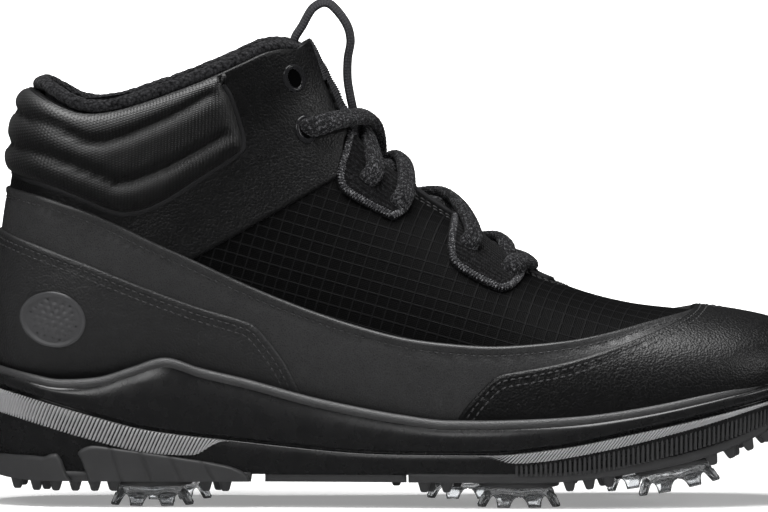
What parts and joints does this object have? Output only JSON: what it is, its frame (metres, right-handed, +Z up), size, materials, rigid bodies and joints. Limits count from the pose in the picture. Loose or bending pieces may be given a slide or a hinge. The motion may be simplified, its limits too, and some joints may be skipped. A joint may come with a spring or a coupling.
{
  "type": "golf shoe",
  "caption": "Spiked winter golf boot for the right foot: padded ankle collar, laced tongue, layered upper and cupped sole with twist-lock cleats.",
  "frame": {"origin": "middle of the boot's length and width, on the ground under the cleats", "axes": "+X to the toe, +Y to the medial side, -Y to the lateral side, +Z up"},
  "size_m": [0.3028, 0.106, 0.1805],
  "materials": {
    "leather_smooth": "smooth semi-gloss black synthetic leather",
    "leather_grain": "fine tumbled black leather, semi-matt",
    "ripstop": "coated black ripstop weave",
    "stretch_knit": "padded stretch knit, dark grey",
    "terry": "brushed loop-pile edge, dark grey",
    "lining": "waterproof bootie lining, dark grey",
    "board": "stiffener board and sheet",
    "foam": "moulded foam footbed",
    "webbing": "woven webbing, grey-black",
    "lace": "flat braided lace, black flecked with grey",
    "hard_plastic": "glossy black moulded plastic",
    "midsole": "moulded foam with satin skin",
    "outsole": "satin black thermoplastic rubber",
    "badge": "welded satin film badge",
    "cleat_clear": "clear smoky thermoplastic"
  },
  "bodies": {
    "boot": {"receptacle_heel_lateral": "hard_plastic", "receptacle_heel_medial": "hard_plastic", "receptacle_ball_lateral": "hard_plastic", "receptacle_ball_medial": "hard_plastic", "receptacle_front_lateral": "hard_plastic", "receptacle_front_medial": "hard_plastic", "midsole": "midsole", "outsole_heel": "outsole", "outsole_midfoot": "outsole", "outsole_forefoot": "outsole", "strobel_board": "board", "insole": "foam", "heel_stiffener": "board", "toe_stiffener": "board", "lining_vamp_lateral": "lining", "lining_vamp_medial": "lining", "lining_quarter_lateral": "lining", "lining_quarter_medial": "lining", "collar_rim": "terry", "collar_pad": "stretch_knit", "quarter_lateral": "leather_grain", "quarter_medial": "leather_grain", "vamp": "ripstop", "vamp_side_lateral": "ripstop", "vamp_side_medial": "ripstop", "foxing_band": "leather_smooth", "heel_overlay": "leather_grain", "toe_cap": "leather_grain", "heel_badge": "badge", "lace_patch_lower_lateral": "leather_smooth", "lace_patch_upper_lateral": "leather_smooth", "lace_patch_lower_medial": "leather_smooth", "lace_patch_upper_medial": "leather_smooth", "eyelet_top_lateral": "hard_plastic", "eyelet_top_medial": "hard_plastic", "eyelet_lace_lateral": "hard_plastic", "eyelet_lace_medial": "hard_plastic", "tongue_lower": "stretch_knit", "lace": "lace", "aglet_lateral": "hard_plastic", "aglet_medial": "hard_plastic"},
    "tongue_top": {"tongue_top": "stretch_knit", "pull_loop": "webbing"},
    "cleat_heel_lateral": {"cleat_heel_lateral": "cleat_clear"},
    "cleat_heel_medial": {"cleat_heel_medial": "cleat_clear"},
    "cleat_ball_lateral": {"cleat_ball_lateral": "cleat_clear"},
    "cleat_ball_medial": {"cleat_ball_medial": "cleat_clear"},
    "cleat_front_lateral": {"cleat_front_lateral": "cleat_clear"},
    "cleat_front_medial": {"cleat_front_medial": "cleat_clear"}
  },
  "joints": [
    {"name": "cleat_heel_lateral_turn", "type": "hinge", "parent": "boot", "child": "cleat_heel_lateral", "pos_m": [-0.09, -0.02018, 0.009], "axis": [0, 0, -1], "range_deg": [0, 60]},
    {"name": "cleat_heel_medial_turn", "type": "hinge", "parent": "boot", "child": "cleat_heel_medial", "pos_m": [-0.084, 0.02032, 0.009], "axis": [0, 0, -1], "range_deg": [0, 60]},
    {"name": "cleat_ball_lateral_turn", "type": "hinge", "parent": "boot", "child": "cleat_ball_lateral", "pos_m": [0.042, -0.03268, 0.009], "axis": [0, 0, -1], "range_deg": [0, 60]},
    {"name": "cleat_ball_medial_turn", "type": "hinge", "parent": "boot", "child": "cleat_ball_medial", "pos_m": [0.024, 0.02332, 0.009], "axis": [0, 0, -1], "range_deg": [0, 60]},
    {"name": "cleat_front_lateral_turn", "type": "hinge", "parent": "boot", "child": "cleat_front_lateral", "pos_m": [0.098, -0.02718, 0.0152], "axis": [0.21, 0, -0.9777], "range_deg": [0, 60]},
    {"name": "cleat_front_medial_turn", "type": "hinge", "parent": "boot", "child": "cleat_front_medial", "pos_m": [0.088, 0.02932, 0.01328], "axis": [0.1733, 0, -0.9849], "range_deg": [0, 60]},
    {"name": "tongue_fold", "type": "hinge", "parent": "boot", "child": "tongue_top", "pos_m": [-0.019, 0.0003, 0.141], "axis": [0, 1, 0], "range_deg": [0, 28], "stiffness_Nm_per_rad": 0.02}
  ]
}
